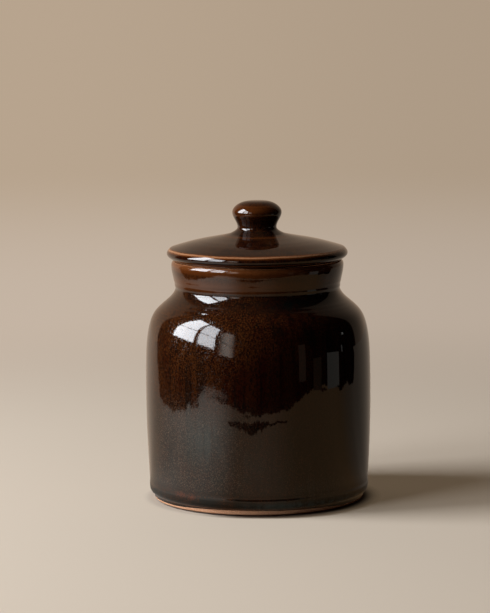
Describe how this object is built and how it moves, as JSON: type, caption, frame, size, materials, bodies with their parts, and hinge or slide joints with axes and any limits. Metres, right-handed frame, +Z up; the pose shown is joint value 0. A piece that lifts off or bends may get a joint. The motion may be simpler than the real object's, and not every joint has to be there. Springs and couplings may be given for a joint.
{
  "type": "lidded jar",
  "caption": "Round glazed stoneware storage jar with a bellied wall, a wide neck and a loose domed lid with a flange underneath and a mushroom knob.",
  "frame": {"origin": "middle of the foot ring, on the surface that the jar stands on", "axes": "+Z up along the jar's axis of revolution, towards the knob; +X and +Y are alike"},
  "size_m": [0.16, 0.16, 0.212],
  "materials": {
    "glaze": "gloss dark brown glaze that breaks to amber on thin edges"
  },
  "bodies": {
    "jar": {"jar_body": "glaze"},
    "lid": {"lid": "glaze", "lid_knob": "glaze"}
  },
  "joints": [
    {"name": "lid_lift", "type": "slide", "parent": "jar", "child": "lid", "axis": [0, 0, 1], "range_m": [0, 0.12]}
  ]
}
